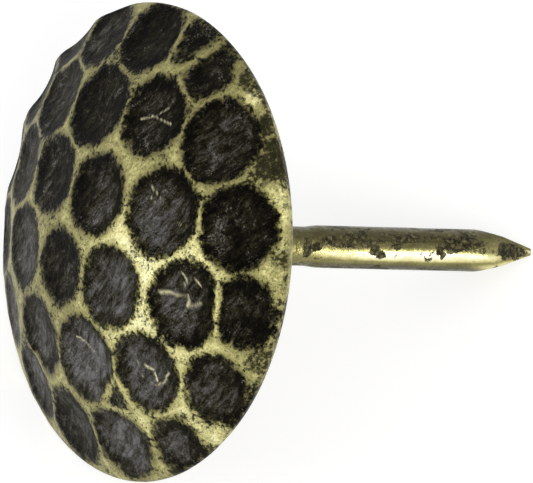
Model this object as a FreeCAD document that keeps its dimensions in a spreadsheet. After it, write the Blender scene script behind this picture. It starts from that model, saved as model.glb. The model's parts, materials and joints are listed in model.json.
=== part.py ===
import FreeCAD, Part
import os
import Sketcher

# Hammered upholstery tack.
#
# A round cap is pressed from sheet into a shallow dome and struck all over with a ball-faced
# hammer. Each blow dishes the outside and raises a bump of the same sheet on the inside. A wire
# pin with a small upset foot is welded to a flat pad inside the crown of the cap. Below the foot
# the pin narrows to the place where the dies gripped it, and it ends in a four-sided point.
#
# Each piece is drawn with the axis of the tack upright: dome up, point down, height zero at the
# rim's outer corner. The finished tack is then laid down as it comes to rest, on the flat that
# one blow leaves on the rim and on the tip of the pin, with the pin along +X.

doc = FreeCAD.newDocument("upholstery_tack")
sheet = doc.addObject("Spreadsheet::Sheet", "Sizes")

# Driving dimensions, in millimetres
SIZES = {
    "head_diameter": 11.1,
    "dome_height": 1.85,
    "sheet_thickness": 0.5,
    "rim_edge_height": 0.3,
    "rim_rounding": 0.12,
    "rim_flat_depth": 0.075,
    "hammer_radius": 4.0,
    "mark_width": 1.85,
    "weld_pad_diameter": 2.6,
    "weld_fill": 0.05,
    "foot_diameter": 2.2,
    "foot_thickness": 0.35,
    "foot_taper": 0.12,
    "pin_diameter": 1.0,
    "pin_reach": 11.15,
    "neck_diameter": 0.92,
    "neck_end": 4.6,
    "neck_taper": 0.35,
    "grip_nick_depth": 0.05,
    "grip_nick_width": 0.16,
    "grip_nick_pitch": 0.42,
    "point_length": 1.63,
    "tip_width": 0.16,
}
for row, (alias, value) in enumerate(SIZES.items(), start=1):
    sheet.set(f"A{row}", alias.replace("_", " "))
    sheet.set(f"B{row}", str(value))
    sheet.setAlias(f"B{row}", alias)
doc.recompute()

# Where the hammer fell: bearing round the axis in degrees, distance out as a share of the rim
# radius, and width as a share of the usual mark
CROWN_MARKS = [(21, 0.21, 1.00), (170, 0.19, 0.92), (269, 0.265, 1.03)]
MIDDLE_MARKS = [
    (13, 0.62, 1.00), (48, 0.565, 1.07), (79, 0.71, 1.03), (89, 0.38, 0.97), (108, 0.68, 1.00),
    (138, 0.515, 1.05), (179, 0.57, 1.00), (219, 0.495, 1.08), (255, 0.625, 1.03),
    (291, 0.62, 1.08), (330, 0.48, 1.10), (233, 0.66, 0.43),
]
RIM_MARKS = [
    (9, 0.88, 0.70), (19, 0.915, 0.60), (36, 0.86, 1.00), (58.5, 0.885, 0.95),
    (75.5, 0.97, 0.85), (93.5, 0.935, 0.92), (114.5, 0.93, 0.92), (133.5, 0.86, 0.97),
    (155, 0.84, 0.92), (180, 0.83, 0.95), (203, 0.83, 1.00), (227, 0.83, 1.00),
    (248.5, 0.905, 0.73), (271.5, 0.875, 0.89), (296, 0.865, 0.86), (320, 0.81, 1.05),
    (347, 0.80, 1.08),
]
MARKS = CROWN_MARKS + MIDDLE_MARKS + RIM_MARKS

# The dome as expressions on the sheet. Its edge leans out by half the angle that a chord from
# crown to rim makes, and the rounded rim measures the head's full diameter.
EDGE_LEAN = "(2 * atan(2 * Sizes.dome_height / Sizes.head_diameter))"
RIM_RADIUS = (f"(Sizes.head_diameter / 2 + Sizes.rim_rounding"
              f" * (sin({EDGE_LEAN}) + cos({EDGE_LEAN}) - 1))")
DOME_RADIUS = f"(({RIM_RADIUS} ^ 2 + Sizes.dome_height ^ 2) / (2 * Sizes.dome_height))"
DOME_CENTRE = f"(Sizes.dome_height - {DOME_RADIUS})"
INNER_RADIUS = f"({DOME_RADIUS} - Sizes.sheet_thickness)"
RIM_ANGLE = f"asin({RIM_RADIUS} / {DOME_RADIUS})"

# The tack lies on the flat of its rim and one corner of its tip, so these two set how far its
# axis leans from the ground
FLAT_OUT = "(Sizes.head_diameter / 2 - Sizes.rim_flat_depth)"
TIP_CORNER = "(Sizes.tip_width / sqrt(2))"
REST_SLOPE = f"(({FLAT_OUT} - {TIP_CORNER}) / Sizes.pin_reach)"
REST_LEAN = f"atan({REST_SLOPE})"

# Bearings in degrees of the rim's flat, of one side of the grip nicks and of one facet of the
# point, whose corners then lie in line with the flat and square to it
RIM_FLAT_TURN = 180
NICK_TURN = -45
POINT_TURN = 45

GRIP_NICKS = 4
NICKED_SIDES = 2
POINT_FACETS = 4

# How a sketch numbers its own origin and the two ends of each line
SKETCH_ORIGIN = (-1, 1)
START, END = 1, 2

# Two modelled lengths in millimetres count as the same within the first, and two measured ones
# within the second. A cut that removes fewer cubic millimetres than the smallest one has missed.
SAME_LENGTH = 1e-6
SAME_HEIGHT = 2e-3
CUTTING_KINDS = ("Subtractive", "Pocket", "Groove")
SMALLEST_CUT = 1e-4


def number(expression):
    """Value of an expression on the sheet, without its unit."""
    value = sheet.evalExpression(expression)
    return getattr(value, "Value", value)


def origin_plane(body, role):
    """One of a body's own origin planes."""
    return next(part for part in body.Origin.OriginFeatures if part.Role == role)


def outline(body, name, corners):
    """Closed sketch on a body's upright plane, through corners given as expressions.

    corners holds (out from the axis, height) pairs.
    """
    sketch = body.newObject("Sketcher::SketchObject", name)
    sketch.AttachmentSupport = [(origin_plane(body, "XZ_Plane"), "")]
    sketch.MapMode = "FlatFace"
    points = [FreeCAD.Vector(number(out), number(height), 0) for out, height in corners]
    sides = [sketch.addGeometry(Part.LineSegment(start, end), False)
             for start, end in zip(points, points[1:] + points[:1])]
    for side, following in zip(sides, sides[1:] + sides[:1]):
        sketch.addConstraint(Sketcher.Constraint("Coincident", side, END, following, START))
    for side, corner in zip(sides, corners):
        for kind, expression in zip(("DistanceX", "DistanceY"), corner):
            index = sketch.addConstraint(Sketcher.Constraint(
                kind, *SKETCH_ORIGIN, side, START, number(expression)))
            sketch.setExpression(f"Constraints[{index}]", expression)
    return sketch


def cut_through(body, name, sketch, bearing):
    """Turn an upright sketch to a bearing and cut away all that lies in line with it."""
    sketch.AttachmentOffset = FreeCAD.Placement(
        FreeCAD.Vector(0, 0, 0), FreeCAD.Rotation(FreeCAD.Vector(0, 1, 0), bearing))
    pocket = body.newObject("PartDesign::Pocket", name)
    pocket.Profile = (sketch, [""])
    pocket.Type = "ThroughAll"
    pocket.Midplane = True
    doc.recompute()
    return pocket


def revolve(body, name, sketch, kind="PartDesign::Revolution"):
    """Full turn of a sketch about the axis of the tack."""
    turned = body.newObject(kind, name)
    turned.Profile = (sketch, [""])
    turned.ReferenceAxis = (sketch, ["V_Axis"])
    turned.Angle = 360
    return turned


def ball(body, name, kind, radius, bearing="0", lean="180 deg", reach="0"):
    """Ball whose middle lies out from the dome's own middle, with its seam turned outwards.

    bearing is round the axis of the tack and lean is down from the top of the dome. The poles
    and the seam of the ball stay clear of the surfaces that are cut.
    """
    sphere = body.newObject(f"PartDesign::{kind}Sphere", name)
    sphere.setExpression("Radius", radius)
    sphere.setExpression(
        "Placement",
        f"placement(vector(0; 0; {DOME_CENTRE}); rotation(vector(0; 0; 1); {bearing} deg)"
        f" * rotation(vector(0; 1; 0); {lean}) * rotation(vector(1; 1; 1); 240 deg))"
        f" * placement(vector({reach}; 0; 0); rotation(vector(0; 0; 1); 0 deg))")
    return sphere


def hammer_marks(body, tool_radius):
    """Dish a dome with one ball per mark.

    The ball's middle depends only on the outside of the cap, so the same marks with a ball
    larger by the sheet give its inside, and the sheet keeps one thickness.
    """
    for index, (bearing, share, breadth) in enumerate(MARKS, start=1):
        half = f"({breadth} * Sizes.mark_width / 2)"
        ball(body, f"{body.Name}_mark_{index:02d}", "Subtractive", tool_radius, bearing,
             f"asin({share} * {RIM_RADIUS} / {DOME_RADIUS})",
             f"sqrt({DOME_RADIUS} ^ 2 - {half} ^ 2) + sqrt(Sizes.hammer_radius ^ 2 - {half} ^ 2)")


# Height of the flat weld pad, just below the lowest bump over the pad's own width
MARK_HALF = "(Sizes.mark_width / 2)"
MARK_DEPTH = (f"({DOME_RADIUS} + Sizes.hammer_radius - sqrt({DOME_RADIUS} ^ 2 - {MARK_HALF} ^ 2)"
              f" - sqrt(Sizes.hammer_radius ^ 2 - {MARK_HALF} ^ 2))")
PAD_RADIUS = "(Sizes.weld_pad_diameter / 2)"
PAD_HEIGHT = (f"({DOME_CENTRE} + sqrt(({INNER_RADIUS} - {MARK_DEPTH}) ^ 2 - {PAD_RADIUS} ^ 2)"
              " - Sizes.weld_fill)")


def make_hollow():
    """The space inside the cap: an inner dome with the bumps of the marks and the weld pad."""
    body = doc.addObject("PartDesign::Body", "hollow")
    ball(body, "inner_dome", "Additive", INNER_RADIUS)
    hammer_marks(body, "Sizes.hammer_radius + Sizes.sheet_thickness")
    pad = body.newObject("PartDesign::SubtractiveCylinder", "weld_pad")
    pad.setExpression("Radius", PAD_RADIUS)
    pad.setExpression("Placement.Base.z", PAD_HEIGHT)
    pad.setExpression("Height", "Sizes.dome_height")
    return body


def make_cap():
    """Domed sheet cap: a trimmed dome, dished by the hammer and hollowed to one thickness."""
    hollow = make_hollow()
    body = doc.addObject("PartDesign::Body", "hammered_cap")
    ball(body, "outer_dome", "Additive", DOME_RADIUS)
    # The edge is square to the sheet, and pressed flat underneath where it meets the leather
    edge_out = f"{RIM_RADIUS} - Sizes.rim_edge_height * tan({RIM_ANGLE})"
    far_out = "Sizes.head_diameter"
    far_up = f"({far_out} - {RIM_RADIUS}) / tan({RIM_ANGLE})"
    far_down = f"-2 * {DOME_RADIUS}"
    waste = outline(
        body, "waste_section",
        [("0", "-Sizes.rim_edge_height"), (edge_out, "-Sizes.rim_edge_height"),
         (far_out, far_up), (far_out, far_down), ("0", far_down)])
    revolve(body, "trimmed_blank", waste, "PartDesign::Groove")
    doc.recompute()
    corner = number(RIM_RADIUS)
    rim = next(
        f"Edge{index}" for index, edge in enumerate(body.Shape.Edges, start=1)
        if abs(edge.BoundBox.XMax - corner) < SAME_LENGTH
        and abs(edge.BoundBox.ZMax) < SAME_LENGTH)
    rounding = body.newObject("PartDesign::Fillet", "rim_rounding")
    rounding.Base = (body.getObject("trimmed_blank"), [rim])
    rounding.setExpression("Radius", "Sizes.rim_rounding")
    # The flat that the tack lies on, in one plane with the corner of the tip
    above, below = "Sizes.sheet_thickness", "-Sizes.sheet_thickness"
    flat = outline(
        body, "rim_flat_section",
        [(f"{FLAT_OUT} + {above} * {REST_SLOPE}", above), (far_out, above), (far_out, below),
         (f"{FLAT_OUT} + {below} * {REST_SLOPE}", below)])
    cut_through(body, "rim_flat", flat, RIM_FLAT_TURN)
    hammer_marks(body, "Sizes.hammer_radius")
    hollowing = body.newObject("PartDesign::Boolean", "hollowing")
    hollowing.Type = "Cut"
    hollowing.Group = [hollow]
    return body


def make_pin():
    """Wire pin: upset foot, narrowing grip with die nicks, plain shank, four-sided point."""
    body = doc.addObject("PartDesign::Body", "pin")
    foot_radius = "(Sizes.foot_diameter / 2)"
    neck_radius = "(Sizes.neck_diameter / 2)"
    pin_radius = "(Sizes.pin_diameter / 2)"
    under_foot = f"({PAD_HEIGHT} - Sizes.foot_thickness)"
    section = outline(
        body, "pin_section",
        [("0", PAD_HEIGHT), ("0", "-Sizes.pin_reach"), (pin_radius, "-Sizes.pin_reach"),
         (pin_radius, "-(Sizes.neck_end + Sizes.neck_taper)"), (neck_radius, "-Sizes.neck_end"),
         (pin_radius, f"{under_foot} - Sizes.foot_taper"),
         (f"{pin_radius} + Sizes.foot_taper", under_foot),
         (foot_radius, under_foot), (foot_radius, PAD_HEIGHT)])
    revolve(body, "wire", section)

    # Teeth of the grip dies: shallow nicks across two opposite sides of the neck
    nick_top = "-(Sizes.neck_end - Sizes.grip_nick_width)"
    nick_middle = "-(Sizes.neck_end - Sizes.grip_nick_width / 2)"
    nick = outline(
        body, "nick_section",
        [(f"{neck_radius} - Sizes.grip_nick_depth", nick_middle),
         (pin_radius, "-Sizes.neck_end"), (pin_radius, nick_top)])
    cut = cut_through(body, "grip_nick", nick, NICK_TURN)
    row_of_nicks = body.newObject("PartDesign::MultiTransform", "grip_nicks")
    row_of_nicks.Originals = [cut]
    along = body.newObject("PartDesign::LinearPattern", "nicks_along_neck")
    along.Direction = (nick, ["V_Axis"])
    along.Occurrences = GRIP_NICKS
    along.setExpression("Length", f"{GRIP_NICKS - 1} * Sizes.grip_nick_pitch")
    opposite = body.newObject("PartDesign::PolarPattern", "nicks_on_both_sides")
    opposite.Axis = (nick, ["V_Axis"])
    opposite.Angle = 360
    opposite.Occurrences = NICKED_SIDES
    row_of_nicks.Transformations = [along, opposite]
    body.Tip = row_of_nicks

    # Point: four flat cuts that meet in a small blunt square
    point_top = "-(Sizes.pin_reach - Sizes.point_length)"
    beyond = "Sizes.pin_diameter"
    below = "-(Sizes.pin_reach + Sizes.tip_width)"
    facet = outline(
        body, "facet_section",
        [(pin_radius, point_top), ("Sizes.tip_width / 2", "-Sizes.pin_reach"),
         ("Sizes.tip_width / 2", below), (beyond, below), (beyond, point_top)])
    flat = cut_through(body, "point_facet", facet, POINT_TURN)
    point = body.newObject("PartDesign::PolarPattern", "point")
    point.Originals = [flat]
    point.Axis = (facet, ["V_Axis"])
    point.Angle = 360
    point.Occurrences = POINT_FACETS
    body.Tip = point
    return body


def laid_box(shape, lean):
    """Box of an upright shape once it is turned to lie with its axis at an angle to the ground."""
    turned = shape.copy()
    turned.rotate(FreeCAD.Vector(0, 0, 0), FreeCAD.Vector(0, 1, 0), lean - 90)
    return turned.optimalBoundingBox(False, False)


def resting_place(lean):
    """Placement of the tack on the ground, with its box centred over the origin."""
    cap_box, pin_box = laid_box(cap.Shape, lean), laid_box(pin.Shape, lean)
    if abs(cap_box.ZMin - pin_box.ZMin) > SAME_HEIGHT:
        raise RuntimeError(
            f"The rim lies at {cap_box.ZMin:.4f} and the tip at {pin_box.ZMin:.4f}")
    box = cap_box.united(pin_box)
    shift = FreeCAD.Vector(-box.Center.x, -box.Center.y, -box.ZMin)
    return FreeCAD.Placement(shift, FreeCAD.Rotation(FreeCAD.Vector(0, 1, 0), lean - 90))


cap = make_cap()
pin = make_pin()
doc.recompute()

faults = [item.Name for item in doc.Objects if {"Invalid", "Error"} & set(item.State)]
if faults:
    raise RuntimeError(f"Features that failed: {faults}")
for piece in (cap, pin):
    if piece.Shape.isNull() or not piece.Shape.isValid():
        raise RuntimeError(f"{piece.Label} is not a valid solid")

# A sound dish or nick removes metal, so a feature that cuts nothing is an error
cuts = [item for item in doc.Objects if any(kind in item.TypeId for kind in CUTTING_KINDS)]
if not cuts:
    raise RuntimeError("No cutting feature was found to check")
for feature in cuts:
    removed = feature.BaseFeature.Shape.Volume - feature.Shape.Volume
    if removed < SMALLEST_CUT:
        raise RuntimeError(f"{feature.Name} cuts nothing")

lean = number(REST_LEAN)
rest = resting_place(lean)
os.makedirs("parts", exist_ok=True)
for piece in (cap, pin):
    piece.Placement = rest
doc.recompute()
for piece in (cap, pin):
    piece.Shape.exportStep(f"parts/{piece.Label}.step")
    print(f"{piece.Label}: {len(piece.Shape.Solids)} solid, {piece.Shape.Volume:.3f} mm3")
print(f"axis leans {lean:.3f} degrees from the ground, placed at {rest.Base}")
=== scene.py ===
"""Hammered upholstery tack in antiqued brass, lying on a pale floor.

The tack is a dished sheet cap with a wire pin welded inside it. Its pieces are worked out in
millimetres in the tack's own upright frame: dome up, point down, height zero at the corner of
the rim. They are then laid down in the place where the tack comes to rest, in metres.
"""

import json
import logging
import math
from dataclasses import dataclass, field
from enum import Enum

import bpy
import numpy as np
from mathutils import Matrix, Vector, noise

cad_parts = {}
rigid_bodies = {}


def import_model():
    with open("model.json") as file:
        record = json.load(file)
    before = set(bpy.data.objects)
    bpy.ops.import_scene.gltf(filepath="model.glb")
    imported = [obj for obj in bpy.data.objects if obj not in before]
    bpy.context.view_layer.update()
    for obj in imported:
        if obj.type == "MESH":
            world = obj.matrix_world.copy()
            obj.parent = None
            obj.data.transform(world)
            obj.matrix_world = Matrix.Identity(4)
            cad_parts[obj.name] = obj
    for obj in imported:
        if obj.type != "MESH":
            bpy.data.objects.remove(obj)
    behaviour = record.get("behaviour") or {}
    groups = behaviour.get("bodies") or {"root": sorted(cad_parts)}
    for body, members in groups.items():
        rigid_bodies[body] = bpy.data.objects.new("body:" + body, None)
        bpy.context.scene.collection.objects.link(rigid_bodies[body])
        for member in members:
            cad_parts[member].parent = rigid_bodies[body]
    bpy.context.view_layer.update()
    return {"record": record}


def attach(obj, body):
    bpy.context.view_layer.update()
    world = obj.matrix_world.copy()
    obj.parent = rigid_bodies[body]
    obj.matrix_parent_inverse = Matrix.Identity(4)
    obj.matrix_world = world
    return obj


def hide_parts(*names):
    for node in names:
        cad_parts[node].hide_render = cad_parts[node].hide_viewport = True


log = logging.getLogger("tack")

MM = 0.001
# Millimetres from the rim to the middle of the shank's straight wall
SHANK_MIDDLE = 7.519
# Steps of this size, without their whole part, spread evenly from 0 to 1
EVEN_SPREAD = 0.6180339


class Slot(Enum):
    """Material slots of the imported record."""

    HAMMERED_BRASS = "hammered_brass"
    PIN_BRASS = "pin_brass"


class Coat(Enum):
    """Names of the measures that each vertex carries for its finish."""

    PLACE = "place"
    RELIEF = "relief"
    # Random grey level of each mark with painted sheen on the cap, and painted shade on the pin
    TONE_AND_PAINTED_SHADING = "tone_and_painted_shading"
    SCRATCH = "scratch"
    # Patina, and painted shade along the cap's rim
    PATINA_AND_PAINTED_SHADE = "patina"
    # Rubbed wear with a painted highlight on the cap, and a painted highlight band on the pin
    WEAR_AND_PAINTED_HIGHLIGHT = "wear_and_painted_highlight"


def smooth_step(low: float, high: float, value: np.ndarray) -> np.ndarray:
    """Soft step from 0 at low to 1 at high.

    Args:
        low: Where the step starts.
        high: Where the step ends.
        value: Numbers to step.

    Returns:
        The stepped numbers, from 0 to 1.
    """
    share = np.clip((value - low) / (high - low), 0.0, 1.0)
    return share * share * (3.0 - 2.0 * share)


def soft_lowest(heights: np.ndarray, softness: float) -> np.ndarray:
    """Lowest of several surfaces, with a worn crest where two of them meet.

    Args:
        heights: One column for each surface, one row for each point.
        softness: How wide the crest is worn, in millimetres.

    Returns:
        One height for each point.
    """
    lowest = heights.min(axis=1, keepdims=True)
    spread = np.exp(-(heights - lowest) / softness).sum(axis=1)
    return lowest[:, 0] - softness * np.log(spread)


def grain(points: np.ndarray, per_mm: float, octaves: int, shift: float = 0.0) -> np.ndarray:
    """Fractal noise at points.

    Args:
        points: Points in millimetres.
        per_mm: How many lumps lie in a millimetre.
        octaves: How many finer layers are added.
        shift: Moves the pattern, so that two uses of it differ.

    Returns:
        One number for each point, about -1 to 1.
    """
    return np.array([
        noise.fractal(Vector(point) * per_mm + Vector((shift, 0.0, 0.0)), 0.8, 2.0, octaves)
        for point in points.tolist()])


def heading(bearing: np.ndarray, lean: np.ndarray) -> np.ndarray:
    """Unit directions from a bearing round the tack's axis and a lean down from its top.

    Args:
        bearing: Bearings in radians.
        lean: Leans in radians.

    Returns:
        One direction in each row.
    """
    return np.stack([np.sin(lean) * np.cos(bearing), np.sin(lean) * np.sin(bearing),
                     np.cos(lean) + 0.0 * bearing], axis=-1)


def level_ring(radius: float | np.ndarray, bearing: np.ndarray, height: float) -> np.ndarray:
    """Points round the tack's axis at one height, one in each row."""
    return np.stack([radius * np.cos(bearing), radius * np.sin(bearing),
                     np.full(len(bearing), height)], axis=1)


@dataclass(frozen=True)
class RestingPlace:
    """Where the tack lies: the middle of its rim and the way its pin points, in metres."""

    rim_middle: Vector
    pin_way: Vector

    @classmethod
    def from_record(cls, record: dict, shank_middle: float) -> "RestingPlace":
        """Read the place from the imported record's shank mount.

        Args:
            record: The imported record.
            shank_middle: Distance from the rim to the middle of the straight shank, in mm.

        Returns:
            The resting place.
        """
        shank = next(mount for mount in record["mounts"] if mount["name"] == "shank")
        way = Vector(shank["axis"]).normalized()
        return cls(Vector(shank["pos_m"]) - way * shank_middle * MM, way)

    def axes(self) -> tuple[Vector, Vector, Vector]:
        """The upright frame's three axes as they lie."""
        up = -self.pin_way
        side = Vector((0.0, 1.0, 0.0))
        return side.cross(up).normalized(), side, up

    def lay(self, points: np.ndarray) -> np.ndarray:
        """Lay upright points in millimetres down, in metres.

        Args:
            points: One upright point in each row.

        Returns:
            The points as they lie.
        """
        turn = np.array([list(axis) for axis in self.axes()])
        return points @ turn * MM + np.array(self.rim_middle)

    def bearing_way(self, bearing: float) -> Vector:
        """Direction square to the pin at a bearing in degrees."""
        across, side, _ = self.axes()
        angle = math.radians(bearing)
        return across * math.cos(angle) + side * math.sin(angle)


@dataclass(frozen=True)
class HammerMark:
    """One blow of the hammer: bearing, distance out as a share of the rim, share of the width."""

    bearing: float
    out: float
    breadth: float


CROWN_MARKS = [(21, 0.21, 1.00), (170, 0.19, 0.92), (269, 0.265, 1.03)]
MIDDLE_MARKS = [
    (13, 0.62, 1.00), (48, 0.565, 1.07), (79, 0.71, 1.03), (89, 0.38, 0.97), (108, 0.68, 1.00),
    (138, 0.515, 1.05), (179, 0.57, 1.00), (219, 0.495, 1.08), (255, 0.625, 1.03),
    (291, 0.62, 1.08), (330, 0.48, 1.10), (233, 0.66, 0.43),
]
RIM_MARKS = [
    (9, 0.88, 0.70), (19, 0.915, 0.60), (36, 0.86, 1.00), (58.5, 0.885, 0.95),
    (75.5, 0.97, 0.85), (93.5, 0.935, 0.92), (114.5, 0.93, 0.92), (133.5, 0.86, 0.97),
    (155, 0.84, 0.92), (180, 0.83, 0.95), (203, 0.83, 1.00), (227, 0.83, 1.00),
    (248.5, 0.905, 0.73), (271.5, 0.875, 0.89), (296, 0.865, 0.86), (320, 0.81, 1.05),
    (347, 0.80, 1.08),
]


@dataclass(frozen=True)
class Smudge:
    """A soft spot on the dome: bearing in degrees, distance out as a share, radius in mm."""

    bearing: float
    out: float
    radius: float
    strength: float = 1.0


@dataclass(frozen=True)
class Scratch:
    """A line scratched through the patina: places on the dome and the line's half width."""

    places: tuple[tuple[float, float], ...]
    half_width: float = 0.035


@dataclass(frozen=True)
class RimBite:
    """A place where a blow pushed the rim in: bearing and half width in degrees, depth in mm."""

    bearing: float
    half_width: float
    depth: float


@dataclass
class DomeForm:
    """The dome of the cap: two balls one sheet apart, dished by the hammer. Millimetres."""

    head_diameter: float = 11.1
    dome_height: float = 1.85
    sheet: float = 0.5
    rim_rounding: float = 0.12
    hammer_radius: float = 4.0
    mark_width: float = 1.85
    crest_wear: float = 0.016
    outline_waver: float = 0.045
    flat_depth: float = 0.075
    flat_slope: float = 0.48090
    flat_clearance: float = 0.001
    marks: list[HammerMark] = field(default_factory=lambda: [
        HammerMark(*mark) for mark in CROWN_MARKS + MIDDLE_MARKS + RIM_MARKS])
    bites: tuple[RimBite, ...] = (
        RimBite(74.0, 7.5, 0.060), RimBite(94.5, 8.5, 0.110), RimBite(114.6, 8.5, 0.065),
        RimBite(132.5, 7.5, 0.045), RimBite(148.0, 5.0, 0.025), RimBite(162.0, 5.0, 0.025))

    def __post_init__(self) -> None:
        """Work out the ball that the dome is part of."""
        lean = 2.0 * math.atan(2.0 * self.dome_height / self.head_diameter)
        self.rim_radius = self.head_diameter / 2.0 + self.rim_rounding * (
            math.sin(lean) + math.cos(lean) - 1.0)
        self.radius = (self.rim_radius ** 2 + self.dome_height ** 2) / (2.0 * self.dome_height)
        self.middle = self.dome_height - self.radius
        self.rim_lean = math.asin(self.rim_radius / self.radius)

    def lean_at(self, out: float) -> float:
        """Lean from the top, in radians, at a share of the rim radius."""
        return math.asin(out * self.rim_radius / self.radius)

    def way_to(self, bearing: float, out: float) -> np.ndarray:
        """Direction from the dome's middle to a place on it."""
        return heading(np.radians(bearing), np.array(self.lean_at(out)))

    def edge_lean(self, bearing: np.ndarray) -> np.ndarray:
        """Lean of the rim's corner at bearings in radians, less where a blow pushed it in."""
        lean = np.full(len(bearing), self.rim_lean)
        for bite in self.bites:
            off = np.degrees(np.angle(np.exp(1j * (bearing - math.radians(bite.bearing)))))
            pushed = np.maximum(1.0 - (off / bite.half_width) ** 2, 0.0)
            lean = lean - bite.depth / self.radius * pushed
        return lean

    def flattened(self, points: np.ndarray) -> np.ndarray:
        """Press the points beyond the flat that the tack lies on back onto that flat."""
        limit = (self.head_diameter / 2.0 - self.flat_depth - self.flat_clearance
                 + points[:, 2] * self.flat_slope)
        pressed = points.copy()
        pressed[:, 0] = np.maximum(points[:, 0], -limit)
        return pressed

    def mark_heights(self, ways: np.ndarray, sunk: float) -> np.ndarray:
        """Distance from the dome's middle to the plain dome and to each mark.

        Args:
            ways: One direction in each row.
            sunk: 0 on the outside, and the sheet's thickness on the inside.

        Returns:
            One column for the plain dome, then one for each mark.
        """
        columns = [np.full(len(ways), self.radius - sunk)]
        for mark in self.marks:
            half = mark.breadth * self.mark_width / 2.0
            reach = math.sqrt(self.radius ** 2 - half ** 2) + math.sqrt(
                self.hammer_radius ** 2 - half ** 2)
            tool = self.hammer_radius + sunk
            facing = ways @ self.way_to(mark.bearing, mark.out)
            inside = tool ** 2 - reach ** 2 * (1.0 - facing ** 2)
            hit = reach * facing - np.sqrt(np.maximum(inside, 0.0))
            columns.append(np.where((inside > 0.0) & (facing > 0.0), hit, self.radius * 2.0))
        return np.stack(columns, axis=1)

    def waver(self, ways: np.ndarray) -> np.ndarray:
        """Shift directions a little, so that the marks' outlines aren't true circles."""
        points = ways * self.radius
        shift = np.stack([grain(points, 1.3, 2, offset) for offset in (0.0, 37.0, 91.0)], axis=1)
        moved = points + shift * self.outline_waver
        return moved / np.linalg.norm(moved, axis=1, keepdims=True)

    def at(self, ways: np.ndarray, distance: np.ndarray) -> np.ndarray:
        """Upright points at a distance from the dome's middle along directions."""
        return ways * distance[:, None] + np.array([0.0, 0.0, self.middle])


@dataclass
class DiskGrid:
    """An even grid of squares laid on a disk, with its border in order round it."""

    cells: int

    def __post_init__(self) -> None:
        """Place the grid's corners and list its faces and its border."""
        side = np.linspace(-1.0, 1.0, self.cells + 1)
        across, along = np.meshgrid(side, side, indexing="ij")
        a, b = across.ravel(), along.ravel()
        wide = np.abs(a) > np.abs(b)
        self.out = np.maximum(np.abs(a), np.abs(b))
        safe_a = np.where(a == 0.0, 1.0, a)
        safe_b = np.where(b == 0.0, 1.0, b)
        self.bearing = np.where(
            wide, math.pi / 4.0 * b / safe_a + np.where(a < 0.0, math.pi, 0.0),
            math.pi / 2.0 - math.pi / 4.0 * a / safe_b + np.where(b < 0.0, math.pi, 0.0))
        stride = self.cells + 1
        corner = (np.arange(self.cells)[:, None] * stride + np.arange(self.cells)).ravel()
        self.faces = np.stack(
            [corner, corner + stride, corner + stride + 1, corner + 1], axis=1)
        last = self.cells
        steps = range(self.cells)
        walk = [(last, step) for step in steps] + [(last - step, last) for step in steps]
        walk += [(0, last - step) for step in steps] + [(step, 0) for step in steps]
        self.border = np.array([row * stride + column for row, column in walk])


@dataclass(frozen=True)
class Pattern:
    """Noise: lumps in a millimetre, finer layers, how strong those are and how stirred it is."""

    per_mm: float
    layers: float = 3.0
    strength: float = 0.6
    stir: float = 0.0


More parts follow.
